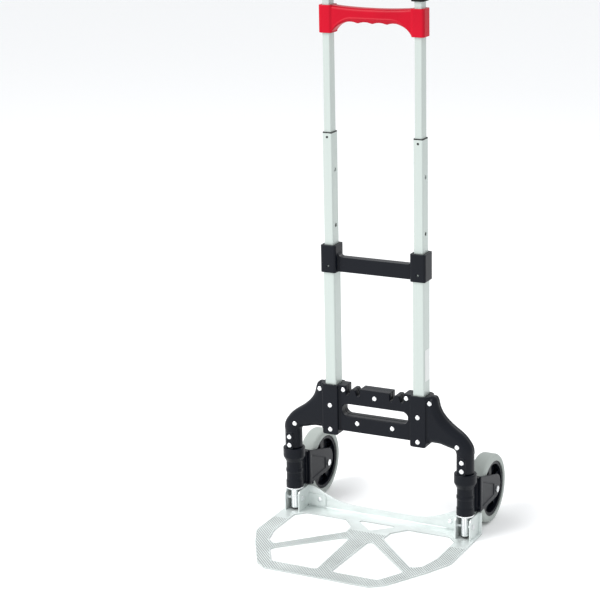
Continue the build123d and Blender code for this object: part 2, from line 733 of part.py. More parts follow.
with BuildPart() as toe_plate:
    with BuildSketch():
        with BuildLine():
            FilletPolyline(*outline, radius=outline_radii, close=True)
        make_face()
        plate_holes()
    extrude(amount=plate_thickness)
    # the panel is recessed below, inside the ribs that run round every edge
    with BuildSketch():
        with BuildLine():
            FilletPolyline(*outline, radius=outline_radii, close=True)
        make_face()
        offset(amount=-rim_width, mode=Mode.REPLACE)
        with Locations((0, 100)):
            Rectangle(2 * plate_width, 200 + 2 * (9 + rim_width), mode=Mode.SUBTRACT)
        plate_holes(rim_width)
    extrude(amount=rim_depth, mode=Mode.SUBTRACT)
    # rear flange, high at the hinge brackets and low between them
    with BuildSketch(Plane.XZ.offset(-flange_outer)):
        with BuildLine():
            Polyline((-half, 0), (half, 0), (half, flange_top), (152, flange_top))
            Spline((152, flange_top), (117, 29), (58, flange_waist), tangents=((-1, -0.25), (-1, 0)))
            Line((58, flange_waist), (-58, flange_waist))
            Spline((-58, flange_waist), (-117, 29), (-152, flange_top), tangents=((-1, 0), (-1, 0.25)))
            Polyline((-152, flange_top), (-half, flange_top), (-half, 0))
        make_face()
    extrude(amount=flange_wall)
    inside_bend = toe_plate.edges().filter_by(Axis.X).filter_by_position(
        Axis.Y, flange_inner - 0.1, flange_inner + 0.1
    ).filter_by_position(Axis.Z, plate_thickness - 0.1, plate_thickness + 0.1)
    fillet(inside_bend, 2)
    outside_bend = toe_plate.edges().filter_by(Axis.X).filter_by_position(
        Axis.Y, flange_outer - 0.1, flange_outer + 0.1
    ).filter_by_position(Axis.Z, -0.1, 0.1)
    chamfer(outside_bend, 1.5)
    for s in (-1, 1):
        for x, z in flange_rivet_places:
            with Locations(on_face(s * x, flange_inner, z)):
                Cylinder(rivet_shank + hole_gap, 20, mode=Mode.SUBTRACT)
toe_plate.part.label = "toe_plate"
export_step(toe_plate.part, "parts/toe_plate.step")

for side_name, side in SIDES:
    with BuildPart() as hinge_bracket:
        for cheek in (-1, 1):
            face = side * leg_x + (cheek * (cheek_inner + cheek_wall / 2)) - cheek_wall / 2
            with BuildSketch(Plane.YZ.offset(face)):
                with BuildLine():
                    FilletPolyline(
                        (-cheek_reach, plate_thickness), (-cheek_reach, cheek_top),
                        (flange_inner, cheek_top), (flange_inner, plate_thickness),
                        radius=[0.2, 8, 4, 2.2], close=True,
                    )
                make_face()
            extrude(amount=cheek_wall)
        bracket_half = cheek_inner + cheek_wall
        ear_end = leg_x - bracket_half - ear_length
        with BuildSketch(Plane.XZ.offset(-flange_inner)):
            with Locations((side * leg_x, (plate_thickness + 2 + cheek_top) / 2)):
                RectangleRounded(2 * bracket_half, cheek_top - plate_thickness - 2, 1.5)
            with Locations((side * (ear_end + leg_x) / 2, 17)):
                RectangleRounded(leg_x - ear_end, 22, 4)
        extrude(amount=cheek_wall)
        with Locations(along_x(side * leg_x, 0, hinge_z)):
            Cylinder(hinge_pin_radius, 4 * bracket_half, mode=Mode.SUBTRACT)
        for x, z in flange_rivet_places:
            with Locations(on_face(side * x, flange_inner, z)):
                Cylinder(rivet_shank + hole_gap, 20, mode=Mode.SUBTRACT)
    hinge_bracket.part.label = f"hinge_bracket_{side_name}"
    export_step(hinge_bracket.part, f"parts/hinge_bracket_{side_name}.step")

    with BuildPart() as hinge_pin:
        with Locations(along_x(side * leg_x, 0, hinge_z)):
            Cylinder(hinge_pin_radius, 2 * bracket_half)
            for end in (-1, 1):
                with Locations((0, 0, end * (bracket_half + 0.75))):
                    Cylinder(hinge_pin_radius + 2, 1.5)
    hinge_pin.part.label = f"hinge_pin_{side_name}"
    export_step(hinge_pin.part, f"parts/hinge_pin_{side_name}.step")

with BuildPart() as flange_rivets:
    for s in (-1, 1):
        for x, z in flange_rivet_places:
            rivet_through(s * x, z, cheek_wall - flange_inner, flange_outer)
flange_rivets.part.label = "flange_rivets"
export_step(flange_rivets.part, "parts/flange_rivets.step")

# ================================ wheels ========================================================
tyre_inner = wheel_radius - tread_thickness
cheek_face = wheel_width / 2 + fork_gap
bore = leg_radius + running_gap + swivel_bush_wall
peg_foot = flange_top + peg_gap
fork_outer = cheek_face + fork_wall
for side_name, side in SIDES:
    x = side * leg_x
    with BuildPart() as wheel_fork:
        with BuildSketch(Plane.XZ):
            with BuildLine():
                Polyline(
                    (x, swivel_foot), (x + swivel_ring, swivel_foot),
                    (x + swivel_ring, lower_ring_top), (x + swivel_neck, lower_ring_top + ring_slope),
                    (x + swivel_neck, waist_top), (x + swivel_ring, waist_top + ring_slope),
                    (x + swivel_ring, upper_ring_top), (x + swivel_neck, upper_ring_top + ring_slope),
                    (x + swivel_neck, neck_top), (x + swivel_wide, shoulder_foot),
                    (x + swivel_wide, swivel_top - 1),
                    (x + swivel_wide - 1, swivel_top), (x, swivel_top), (x, swivel_foot),
                )
            make_face()
        revolve(axis=Axis((x, 0, 0), (0, 0, 1)))
        for cheek in (-1, 1):
            face = x + cheek * (cheek_face + fork_wall / 2) - fork_wall / 2
            with BuildSketch(Plane.YZ.offset(face)):
                with Locations((wheel_trail - 2, fork_end_height)):
                    Circle(fork_end_radius)
                with Locations((fork_root + 1, (fork_foot + fork_root_top) / 2)):
                    Rectangle(2, fork_root_top - fork_foot)
                make_hull()
            extrude(amount=fork_wall)
        web_back = wheel_trail - wheel_radius - fork_gap
        with BuildSketch(Plane.XY.offset(swivel_foot)):
            with Locations((x, (8 + web_back) / 2)):
                Rectangle(2 * fork_outer - 1, web_back - 8)
            for s in (-1, 1):
                with Locations((x + s * fork_outer, 0)):
                    Rectangle(16, 2 * fork_root, mode=Mode.SUBTRACT)
        extrude(amount=fork_root_top - swivel_foot - 3)
        with BuildSketch(Plane.XY.offset(fork_foot + 1)):
            with Locations((x, (swivel_ring + 3 + web_back) / 2)):
                Rectangle(2 * fork_outer - 1, web_back - swivel_ring - 3)
        extrude(amount=3)
        with Locations((x, 0, (swivel_foot + swivel_top) / 2)):
            Cylinder(bore, swivel_top - swivel_foot + 2, mode=Mode.SUBTRACT)
        with Locations((x - side * (cheek_face + fork_wall / 2), peg_trail, (peg_foot + fork_foot + 1) / 2)):
            Cylinder(peg_radius, fork_foot + 1 - peg_foot)
        with Locations(along_x(x, wheel_trail, wheel_radius)):
            Cylinder(axle_radius + seat_gap, 3 * fork_outer, mode=Mode.SUBTRACT)
    wheel_fork.part.label = f"wheel_fork_{side_name}"
    export_step(wheel_fork.part, f"parts/wheel_fork_{side_name}.step")

    with BuildPart() as swivel_bush:
        with BuildSketch(Plane.XY.offset(swivel_foot + 1)):
            with Locations((x, 0)):
                Circle(bore - seat_gap)
                Circle(leg_radius + running_gap, mode=Mode.SUBTRACT)
        extrude(amount=swivel_top - swivel_foot - 2)
    swivel_bush.part.label = f"swivel_bush_{side_name}"
    export_step(swivel_bush.part, f"parts/swivel_bush_{side_name}.step")

    with BuildPart() as axle:
        with Locations(along_x(x, wheel_trail, wheel_radius)):
            Cylinder(axle_radius, 2 * fork_outer)
            with Locations((0, 0, -side * (fork_outer + 1.4))):
                Cylinder(axle_radius + 2, 2.8)
            with Locations((0, 0, side * (fork_outer + 1.8))):
                Cylinder(axle_radius - 0.5, 3.6)
    axle.part.label = f"axle_{side_name}"
    export_step(axle.part, f"parts/axle_{side_name}.step")

    with BuildPart() as axle_nut:
        with BuildSketch(Plane.YZ.offset(x + side * fork_outer)):
            with Locations((wheel_trail, wheel_radius)):
                RegularPolygon(axle_radius + 2.4, 6)
                Circle(axle_radius - 0.5 + seat_gap, mode=Mode.SUBTRACT)
        extrude(amount=side * 3)
    axle_nut.part.label = f"axle_nut_{side_name}"
    export_step(axle_nut.part, f"parts/axle_nut_{side_name}.step")

    with BuildPart() as wheel_rim:
        with BuildSketch(Plane.YZ.offset(x)):
            with Locations((wheel_trail, wheel_radius)):
                Circle(tyre_inner)
                Circle(tyre_inner - 6, mode=Mode.SUBTRACT)
        extrude(amount=wheel_width / 2 - 2, both=True)
        with BuildSketch(Plane.YZ.offset(x)):
            with Locations((wheel_trail, wheel_radius)):
                Circle(hub_radius)
                with PolarLocations(0, spoke_count, start_angle=90):
                    with Locations((tyre_inner / 2 - 1, 0)):
                        Rectangle(tyre_inner - 4, spoke_width)
        extrude(amount=web_depth / 2, both=True)
        with BuildSketch(Plane.YZ.offset(x)):
            with Locations((wheel_trail, wheel_radius)):
                Circle(tyre_inner - 1)
        extrude(amount=web_wall / 2, both=True)
        with BuildSketch(Plane.YZ.offset(x)):
            with Locations((wheel_trail, wheel_radius)):
                Circle(hub_radius)
        extrude(amount=wheel_width / 2, both=True)
        with Locations(along_x(x, wheel_trail, wheel_radius)):
            Cylinder(wheel_bush_radius + seat_gap, 2 * wheel_width, mode=Mode.SUBTRACT)
    wheel_rim.part.label = f"wheel_rim_{side_name}"
    export_step(wheel_rim.part, f"parts/wheel_rim_{side_name}.step")

    with BuildPart() as tread:
        with BuildSketch(Plane.YZ.offset(x)):
            with Locations((wheel_trail, wheel_radius)):
                Circle(wheel_radius)
                Circle(tyre_inner, mode=Mode.SUBTRACT)
        extrude(amount=wheel_width / 2, both=True)
        fillet(tread.edges().filter_by(GeomType.CIRCLE).filter_by(
            lambda edge: edge.radius > wheel_radius - 1), 6)
    tread.part.label = f"tread_{side_name}"
    export_step(tread.part, f"parts/tread_{side_name}.step")

    with BuildPart() as wheel_bush:
        with Locations(along_x(x, wheel_trail, wheel_radius)):
            Cylinder(wheel_bush_radius, wheel_width + 2)
            Cylinder(axle_radius + running_gap, wheel_width + 4, mode=Mode.SUBTRACT)
    wheel_bush.part.label = f"wheel_bush_{side_name}"
    export_step(wheel_bush.part, f"parts/wheel_bush_{side_name}.step")
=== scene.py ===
"""Looks of the folding hand truck: finishes, mouldings, rivets, grooved toe plate, stage and camera."""

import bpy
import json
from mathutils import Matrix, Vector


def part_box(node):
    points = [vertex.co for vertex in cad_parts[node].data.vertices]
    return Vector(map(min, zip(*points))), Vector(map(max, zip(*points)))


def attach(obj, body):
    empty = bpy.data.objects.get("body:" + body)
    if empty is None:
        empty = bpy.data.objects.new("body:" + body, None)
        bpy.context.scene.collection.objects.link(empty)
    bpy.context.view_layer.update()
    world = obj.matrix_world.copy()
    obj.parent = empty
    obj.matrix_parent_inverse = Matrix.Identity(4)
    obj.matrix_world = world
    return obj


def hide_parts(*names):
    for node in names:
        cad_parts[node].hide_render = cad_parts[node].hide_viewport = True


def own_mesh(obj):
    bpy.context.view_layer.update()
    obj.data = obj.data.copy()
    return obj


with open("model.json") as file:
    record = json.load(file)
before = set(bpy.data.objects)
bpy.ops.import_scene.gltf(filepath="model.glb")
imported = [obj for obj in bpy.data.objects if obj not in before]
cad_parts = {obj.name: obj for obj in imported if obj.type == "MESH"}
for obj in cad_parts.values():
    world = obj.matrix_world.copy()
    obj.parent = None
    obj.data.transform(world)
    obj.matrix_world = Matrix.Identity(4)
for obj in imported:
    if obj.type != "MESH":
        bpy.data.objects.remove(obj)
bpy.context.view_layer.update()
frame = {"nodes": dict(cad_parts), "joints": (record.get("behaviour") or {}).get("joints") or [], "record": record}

import json
import math

import bmesh
import bpy
import numpy as np
from bpy.props import FloatProperty, FloatVectorProperty, IntProperty, PointerProperty
from mathutils import Matrix, Vector
from mathutils.bvhtree import BVHTree
from mathutils.kdtree import KDTree

bl_info = {
    "name": "Folding Hand Truck",
    "version": (1, 0, 0),
    "blender": (4, 5, 0),
    "location": "3D View > Sidebar > Hand Truck",
    "description": "Dresses the packed frame of a folding hand truck with its mouldings and finishes",
    "category": "Object",
}

MM = 0.001
WELD = 0.002 * MM               # vertices nearer than this are one
FLAT = math.radians(0.5)        # faces that meet at less than this are one flat
CORNER = math.radians(38)       # faces that meet at more than this make an edge to bevel
SIDES = (("left", -1), ("right", 1))
BODY_OF = {node: body for body, nodes in frame["record"]["behaviour"]["bodies"].items() for node in nodes}


# ---- sizes and colours that a user would change ---------------------------------------------------
def colour(name, description, default):
    """A colour property."""
    return FloatVectorProperty(name=name, description=description, default=default,
                               subtype="COLOR", size=3, min=0, max=1)


def length(name, description, default):
    """A length property in metres."""
    return FloatProperty(name=name, description=description, default=default, unit="LENGTH", min=0, precision=5)


class FinishColours(bpy.types.PropertyGroup):
    """Colours of the plastics, rubber and metals."""
    black: colour("Black", "Moulded frame, bracket and forks", (0.0022, 0.0034, 0.0066))
    soft_black: colour("Soft black", "Top handle", (0.0036, 0.0038, 0.0046))
    red: colour("Red", "Release handle", (0.40, 0.0005, 0.013))
    tyre: colour("Tyre", "Grey rubber of the wheels", (0.33, 0.36, 0.34))
    mast: colour("Mast", "Anodised tubes", (0.46, 0.51, 0.485))
    plate: colour("Plate", "Aluminium toe plate", (0.74, 0.79, 0.775))
    steel: colour("Steel", "Bright plated legs and pins", (0.80, 0.81, 0.82))
    rivet: colour("Rivet", "Plated rivet heads", (0.86, 0.87, 0.88))
    nylon: colour("Nylon", "Bushes and glides", (0.012, 0.012, 0.013))
    label: colour("Label", "Blank sticker", (0.66, 0.68, 0.67))
    floor: colour("Floor", "Studio floor", (0.93, 0.93, 0.93))


class MouldingSizes(bpy.types.PropertyGroup):
    """How the plastic pieces are rounded."""
    skin: length("Skin", "Size of the cells that the mouldings are cast from", 0.0010)
    fine_skin: length("Fine skin", "Cells of the handles and forks", 0.0008)
    rounds: IntProperty(name="Rounds", description="Passes that round every edge", default=4, min=0)
    soft_rounds: IntProperty(name="Soft rounds", description="Passes that round arms and grips", default=55)
    limb_radius: length("Limb radius", "How far in from its edge an arm is rounded", 0.015)
    ridge: length("Ridge", "Height of the ridge on the release handle", 0.0009)
    ridge_width: length("Ridge width", "Half width of the raised line over the arch", 0.0017)
    lip_height: length("Lip height", "Height of the leaning lip below the raised line", 0.0080)
    lip_depth: length("Lip depth", "How far the lip leans in at its lower edge", 0.0030)
    dot_pitch: length("Dot pitch", "Between the dots on the top handle", 0.0024)
    panel_depth: length("Panel depth", "Depth of the recess in each fork cheek", 0.0013)


class PlateSizes(bpy.types.PropertyGroup):
    """The grooves on the toe plate."""
    pitch: length("Pitch", "From one groove to the next", 0.0040)
    groove_width: length("Groove width", "Across one groove", 0.0024)
    groove_depth: length("Groove depth", "Depth of a groove", 0.0010)
    border: length("Border", "Plain border round the grooved faces", 0.0016)
    smooth_strip: length("Smooth strip", "Plain strip from the hinge line forwards", 0.047)
    edge: length("Edge", "Rounding of the plate's edges", 0.0006)


class LugSizes(bpy.types.PropertyGroup):
    """The snap lugs of the middle bushes."""
    radius: length("Radius", "Radius of the snap lugs that hold the middle bushes", 0.0022)
    rise: length("Rise", "How far a lug stands out of the tube", 0.00015)
    sunk: length("Sunk", "How far a lug reaches into the tube wall", 0.0005)
    drop: length("Drop", "From the mouth of the tube down to a lug", 0.0066)


class RivetSizes(bpy.types.PropertyGroup):
    """The domed rivet heads."""
    radius: length("Radius", "Radius of a rivet head", 0.0044)
    rise: length("Rise", "Height of the dome", 0.0019)
    dimple: length("Dimple", "Radius of the dimple in the middle", 0.0011)


class HandTruckSizes(bpy.types.PropertyGroup):
    """All the groups together."""
    finishes: PointerProperty(type=FinishColours)
    moulding: PointerProperty(type=MouldingSizes)
    plate: PointerProperty(type=PlateSizes)
    rivets: PointerProperty(type=RivetSizes)
    lugs: PointerProperty(type=LugSizes)


def sizes():
    """The sizes and colours in force."""
    return bpy.context.scene.hand_truck


# ---- node trees -------------------------------------------------------------------------------------
class Value:
    """A socket in a node tree, with arithmetic."""

    def __init__(self, graph, socket):
        self.graph, self.socket = graph, socket

    def _math(self, operation, *values):
        return self.graph.node("ShaderNodeMath", {"operation": operation}, dict(enumerate(values)))

    def __add__(self, other):
        return self._math("ADD", self, other)

    def __radd__(self, other):
        return self._math("ADD", other, self)

    def __sub__(self, other):
        return self._math("SUBTRACT", self, other)

    def __rsub__(self, other):
        return self._math("SUBTRACT", other, self)

    def __mul__(self, other):
        return self._math("MULTIPLY", self, other)

    def __rmul__(self, other):
        return self._math("MULTIPLY", other, self)

    def clipped(self, low, high):
        """0 below low, 1 above high, and a smooth step between them."""
        return self.graph.node("ShaderNodeMapRange", {"interpolation_type": "SMOOTHSTEP"},
                               {"Value": self, "From Min": low, "From Max": high})


class Graph:
    """A node tree of any kind, with one way to add a node."""

    def __init__(self, tree):
        self.tree = tree

    def node(self, kind, settings=None, inputs=None, output=0):
        """Add a node, set its settings first and then its sockets, and give back one output."""
        made = self.tree.nodes.new(kind)
        for name, value in (settings or {}).items():
            setattr(made, name, value)
        for name, value in (inputs or {}).items():
            if isinstance(value, Value):
                self.tree.links.new(value.socket, made.inputs[name])
            else:
                made.inputs[name].default_value = value
        return Value(self, made.outputs[output]) if made.outputs else made


# A Mix node has one factor, A, B and result for each kind of data; these are its colour sockets.
MIX_FACTOR, MIX_A, MIX_B, MIX_RESULT = 0, 6, 7, 2


class Finish(Graph):
    """A material with its nodes."""

    def __init__(self, name):
        self.material = bpy.data.materials.new(name)
        self.material.use_nodes = True
        super().__init__(self.material.node_tree)
        self.tree.nodes.clear()
        self.place = self.node("ShaderNodeTexCoord", output="Object")

    def stretched(self, *scale):
        """The place on the piece, with its three axes scaled."""
        return self.node("ShaderNodeMapping", inputs={"Vector": self.place, "Scale": scale})

    def noise(self, scale, detail=2.0, place=None, rough=0.5):
        """Noise from 0 to 1, scale counted in waves to a metre."""
        return self.node("ShaderNodeTexNoise", inputs={
            "Vector": place or self.place, "Scale": scale, "Detail": detail, "Roughness": rough})

    def tint(self, factor, first, second):
        """A colour between two others."""
        return self.node("ShaderNodeMix", {"data_type": "RGBA"}, {
            MIX_FACTOR: factor, MIX_A: (*first, 1), MIX_B: (*second, 1)}, output=MIX_RESULT)

    def bump(self, height, distance, strength):
        """The surface's normal under a relief that is distance metres high."""
        return self.node("ShaderNodeBump", inputs={"Height": height, "Distance": distance, "Strength": strength})

    def surface(self, **sockets):
        """Close the material with one shader."""
        names = {name.replace("_", " "): value for name, value in sockets.items()}
        shader = self.node("ShaderNodeBsdfPrincipled", inputs=names)
        self.node("ShaderNodeOutputMaterial", inputs={"Surface": shader})
        return self.material


def shade(base, factor):
    """A colour made lighter or darker."""
    return tuple(min(1, channel * factor) for channel in base)


# ---- finishes -----------------------------------------------------------------------------------------
def moulded_plastic(name, base, gloss, grain_size=0.0006, grain_height=0.00003, shine=0.28):
    """Injection-moulded plastic with a fine spark-eroded grain and faint flow clouds."""
    finish = Finish(name)
    clouds = finish.noise(14, 3)
    grain = finish.noise(1 / grain_size, 2)
    scuffs = finish.noise(60, 6, finish.stretched(1, 1, 7), 0.7).clipped(0.56, 0.74)
    return finish.surface(
        Base_Color=finish.tint(clouds, shade(base, 0.85), shade(base, 1.2)),
        Roughness=gloss + 0.10 * clouds + 0.08 * grain - 0.05 + 0.06 * scuffs,
        Specular_IOR_Level=shine,
        Normal=finish.bump(grain, grain_height, 0.8),
    )


def anodised(name, base, lines, gloss):
    """Anodised extrusion: die lines run along the axis that `lines` squeezes."""
    finish = Finish(name)
    drawn = finish.noise(900, 3, finish.stretched(*lines))
    frost = finish.noise(3500, 1)
    clouds = finish.noise(7, 2)
    return finish.surface(
        Base_Color=finish.tint(drawn, shade(base, 0.93), shade(base, 1.04)),
        Metallic=0.35,
        Roughness=gloss + 0.10 * drawn + 0.08 * clouds + 0.05 * frost - 0.1,
        Normal=finish.bump(drawn + 0.4 * frost, 0.00003, 0.7),
    )


# Heights above the floor, at rest, of the painted shade in the grooves: the groove's floor, where the painted
# shade is darkest, and the face above it, where it fades out.
SHADED_GROOVE_FLOOR = (0.0016, 0.0018)
GROOVE_SHADE_FADE = (0.0021, 0.0029)


def mill_aluminium(name, base):
    """Pressed sheet with rolling lines, a few brighter rubs and painted shade on the groove floors."""
    finish = Finish(name)
    rolled = finish.noise(700, 4, finish.stretched(0.02, 1, 1))
    clouds = finish.noise(18, 4)
    rubs = finish.noise(220, 6, finish.stretched(1, 0.12, 1), 0.75).clipped(0.58, 0.72)
    height = finish.node("ShaderNodeSeparateXYZ", inputs={"Vector": finish.place}, output="Z")
    # groove: a mask of painted shade over the groove floors, which darkens the base colour below
    groove = height.clipped(*SHADED_GROOVE_FLOOR) * (1 - height.clipped(*GROOVE_SHADE_FADE))
    return finish.surface(
        Base_Color=finish.tint(0.35 * clouds + 0.65 * groove, shade(base, 1.08), shade(base, 0.13)),
        Metallic=0.55,
        Roughness=0.34 + 0.14 * clouds + 0.10 * rolled - 0.08 * rubs,
        Normal=finish.bump(rolled + 0.3 * clouds, 0.00003, 0.6),
    )


def plated_steel(name, base, gloss):
    """Bright plated steel with a slight ripple."""
    finish = Finish(name)
    ripple = finish.noise(160, 2)
    haze = finish.noise(45, 5)
    return finish.surface(
        Base_Color=finish.tint(haze, shade(base, 0.94), shade(base, 1.05)),
        Metallic=1.0,
        Roughness=gloss + 0.10 * haze,
        Normal=finish.bump(ripple, 0.00004, 0.5),
    )


def tyre_rubber(name, base):
    """Grey rubber with a fine bloom, mould grain and a few darker specks."""
    finish = Finish(name)
    bloom = finish.noise(22, 5)
    grain = finish.noise(1300, 3)
    specks = finish.noise(520, 2).clipped(0.66, 0.74)
    return finish.surface(
        Base_Color=finish.tint(0.75 * bloom + 0.25 * specks, shade(base, 1.10), shade(base, 0.82)),
        Roughness=0.58 + 0.12 * bloom + 0.06 * grain,
        Normal=finish.bump(grain, 0.00006, 0.8),
    )


def sticker_paper(name, base):
    """Matt film with a faint fibre."""
    finish = Finish(name)
    fibre = finish.noise(900, 4)
    return finish.surface(
        Base_Color=finish.tint(fibre, shade(base, 0.96), base),
        Roughness=0.5 + 0.1 * fibre,
        Normal=finish.bump(fibre, 0.00001, 0.5),
    )


def studio_floor(name, base):
    """Pale seamless paper."""
    finish = Finish(name)
    fibre = finish.noise(30, 3)
    return finish.surface(Base_Color=finish.tint(fibre, shade(base, 0.99), base), Roughness=0.75 + 0.1 * fibre)


def make_finishes():
    """Every finish by the name of the material slot that it belongs to."""
    c = sizes().finishes
    return {
        "black_plastic": moulded_plastic("black_moulding", c.black, 0.34, shine=0.17),
        "soft_black": moulded_plastic("soft_grip", c.soft_black, 0.46, 0.0008, 0.00005, 0.17),
        "red_plastic": moulded_plastic("red_moulding", c.red, 0.34, shine=0.14),
        "tyre": tyre_rubber("tyre_rubber", c.tyre),
        "mast_aluminium": anodised("mast_anodising", c.mast, (1, 1, 0.008), 0.33),
        "plate_aluminium": mill_aluminium("pressed_aluminium", c.plate),
        "steel": plated_steel("bright_steel", c.steel, 0.22),
        "rivet": plated_steel("rivet_plating", c.rivet, 0.24),
        "nylon": moulded_plastic("nylon", c.nylon, 0.42),
        "label": sticker_paper("blank_film", c.label),
    }


FINISHES = {}


# ---- making pieces --------------------------------------------------------------------------------------
def welded(*nodes):
    """Copies of frame nodes in one editable mesh, with their loose triangles joined up."""
    made = bmesh.new()
    for node in nodes:
        made.from_mesh(frame["nodes"][node].data)
    bmesh.ops.remove_doubles(made, verts=made.verts, dist=WELD)
    return made


def new_piece(name, made):
    """An object at the origin from an editable mesh."""
    mesh = bpy.data.meshes.new(name)
    made.to_mesh(mesh)
    made.free()
    piece = bpy.data.objects.new(name, mesh)
    bpy.context.scene.collection.objects.link(piece)
    return piece


def settle(piece):
    """Make what the modifiers give the piece's own plain mesh, and remove them."""
    bpy.context.view_layer.update()
    evaluated = piece.evaluated_get(bpy.context.evaluated_depsgraph_get())
    mesh = bpy.data.meshes.new_from_object(evaluated)
    piece.modifiers.clear()
    piece.vertex_groups.clear()
    piece.data = mesh
    return piece


def shade_smooth(piece, angle=None):
    """Smooth shading, with edges over `angle` degrees kept crisp."""
    piece.data.polygons.foreach_set("use_smooth", [True] * len(piece.data.polygons))
    if angle is not None:
        piece.data.set_sharp_from_angle(angle=math.radians(angle))


def fit(piece, slot, body, *nodes):
    """Give a piece its finish, let it ride and hide the frame nodes that it stands for."""
    piece.data.materials.clear()
    piece.data.materials.append(FINISHES[slot])
    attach(piece, body)
    if nodes:
        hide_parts(*nodes)
    return piece


def points_of(piece):
    """The piece's vertices as rows of x, y, z."""
    co = np.zeros(len(piece.data.vertices) * 3)
    piece.data.vertices.foreach_get("co", co)
    return co.reshape(-1, 3)


def set_points(piece, co):
    """Move the piece's vertices."""
    piece.data.vertices.foreach_set("co", co.ravel())
    piece.data.update()


def step(low, high, value):
    """0 below low, 1 above high, smooth between."""
    t = np.clip((value - low) / (high - low), 0, 1)
    return t * t * (3 - 2 * t)


def ease_softly(piece, soft, passes):
    """Round a piece where its weights from 0 to 1 say."""
    weights = soft(points_of(piece))
    group = piece.vertex_groups.new(name="soft")
    for tenths in range(1, 11):
        chosen = np.flatnonzero(np.round(weights * 10) == tenths)
        group.add([int(i) for i in chosen], tenths / 10, "REPLACE")
    rounder = piece.modifiers.new("rounder", "SMOOTH")
    rounder.factor, rounder.iterations, rounder.vertex_group = 0.5, passes, "soft"
    settle(piece)


def moulding(name, node, skin, soft=None, before=0, shape=None, after=0, keep=0.45):
    """Cast a node again with every edge rounded.

    `shape` moves the vertices to press panels and ridges into the surface. `soft` weighs each vertex
    from 0 to 1 for the extra rounding passes of arms and grips, `before` and `after` that.
    """
    m = sizes().moulding
    piece = new_piece(name, welded(node))
    cast = piece.modifiers.new("cast", "REMESH")
    cast.mode, cast.voxel_size = "VOXEL", skin
    ease = piece.modifiers.new("ease", "SMOOTH")
    ease.factor, ease.iterations = 0.5, m.rounds
    settle(piece)
    if before:
        ease_softly(piece, soft, before)
    if shape is not None:
        set_points(piece, shape(piece, points_of(piece)))
    if after:
        ease_softly(piece, soft, after)
    thin = piece.modifiers.new("thin", "DECIMATE")
    thin.ratio = keep
    settle(piece)
    shade_smooth(piece)
    return piece


def crisp(node, slot, edge=0.0003, segments=2):
    """Keep a frame node as it is, with its finish and small bevels on its edges."""
    piece = frame["nodes"][node]
    piece.data.materials.clear()
    piece.data.materials.append(FINISHES[slot])
    shade_smooth(piece)
    weld = piece.modifiers.new("weld", "WELD")
    weld.merge_threshold = WELD
    if edge:
        flats = piece.modifiers.new("flats", "DECIMATE")
        flats.decimate_type, flats.angle_limit = "DISSOLVE", FLAT
        bevel = piece.modifiers.new("edges", "BEVEL")
        bevel.width, bevel.segments = edge, segments
        bevel.limit_method, bevel.angle_limit = "ANGLE", CORNER
    even = piece.modifiers.new("even_shading", "WEIGHTED_NORMAL")
    even.weight, even.keep_sharp = 80, False
    return piece


def islands(node):
    """(lowest, highest) corner of each separate solid in a node, in order along X, then Z."""
    made = welded(node)
    left, found = set(made.verts), []
    while left:
        edge_of_search = [left.pop()]
        group = list(edge_of_search)
        while edge_of_search:
            vert = edge_of_search.pop()
            for edge in vert.link_edges:
                other = edge.other_vert(vert)
                if other in left:
                    left.remove(other)
                    edge_of_search.append(other)
                    group.append(other)
        co = np.array([v.co for v in group])
        found.append((co.min(0), co.max(0)))
    made.free()
    return sorted(found, key=lambda box: (round(box[0][0], 3), round(box[0][2], 3)))


def spun(name, profile, segments=32):
    """A closed turned shape about Z from (radius, height) pairs that start and end on the axis."""
    made = bmesh.new()
    rings = []
    for radius, height in profile:
        if radius == 0:
            rings.append([made.verts.new((0, 0, height))])
            continue
        turns = [2 * math.pi * i / segments for i in range(segments)]
        rings.append([made.verts.new((radius * math.cos(t), radius * math.sin(t), height)) for t in turns])
    for lower, upper in zip(rings, rings[1:]):
        for i in range(segments):
            j = (i + 1) % segments
            corners = [lower[i % len(lower)], lower[j % len(lower)], upper[j % len(upper)], upper[i % len(upper)]]
            made.faces.new(list(dict.fromkeys(corners)))
    bmesh.ops.recalc_face_normals(made, faces=made.faces)
    return new_piece(name, made)


# ---- geometry nodes: one shape set at many places -----------------------------------------------------
def setting_tree():
    """Set a master shape on every point, turned to face the way its `facing` attribute says."""
    tree = bpy.data.node_groups.new("set_in_place", "GeometryNodeTree")
    for name, kind in (("Places", "NodeSocketGeometry"), ("Shape", "NodeSocketObject"),
                       ("Size", "NodeSocketFloat"), ("Finish", "NodeSocketMaterial")):
        tree.interface.new_socket(name, in_out="INPUT", socket_type=kind)
    tree.interface.new_socket("Pieces", in_out="OUTPUT", socket_type="NodeSocketGeometry")
    graph = Graph(tree)
    entry = tree.nodes.new("NodeGroupInput")
    given = {socket.name: Value(graph, socket) for socket in entry.outputs if socket.name}
    shape = graph.node("GeometryNodeObjectInfo", inputs={"Object": given["Shape"]}, output="Geometry")
    facing = graph.node("GeometryNodeInputNamedAttribute", {"data_type": "FLOAT_VECTOR"}, {"Name": "facing"})
    turn = graph.node("FunctionNodeAlignRotationToVector", {"axis": "Z"}, {"Vector": facing})
    copies = graph.node("GeometryNodeInstanceOnPoints", inputs={
        "Points": given["Places"], "Instance": shape, "Rotation": turn, "Scale": given["Size"]})
    whole = graph.node("GeometryNodeRealizeInstances", inputs={"Geometry": copies})
    smooth = graph.node("GeometryNodeSetShadeSmooth", inputs={"Geometry": whole})
    coloured = graph.node("GeometryNodeSetMaterial", inputs={"Geometry": smooth, "Material": given["Finish"]})
    graph.node("NodeGroupOutput", inputs={"Pieces": coloured})
    return tree


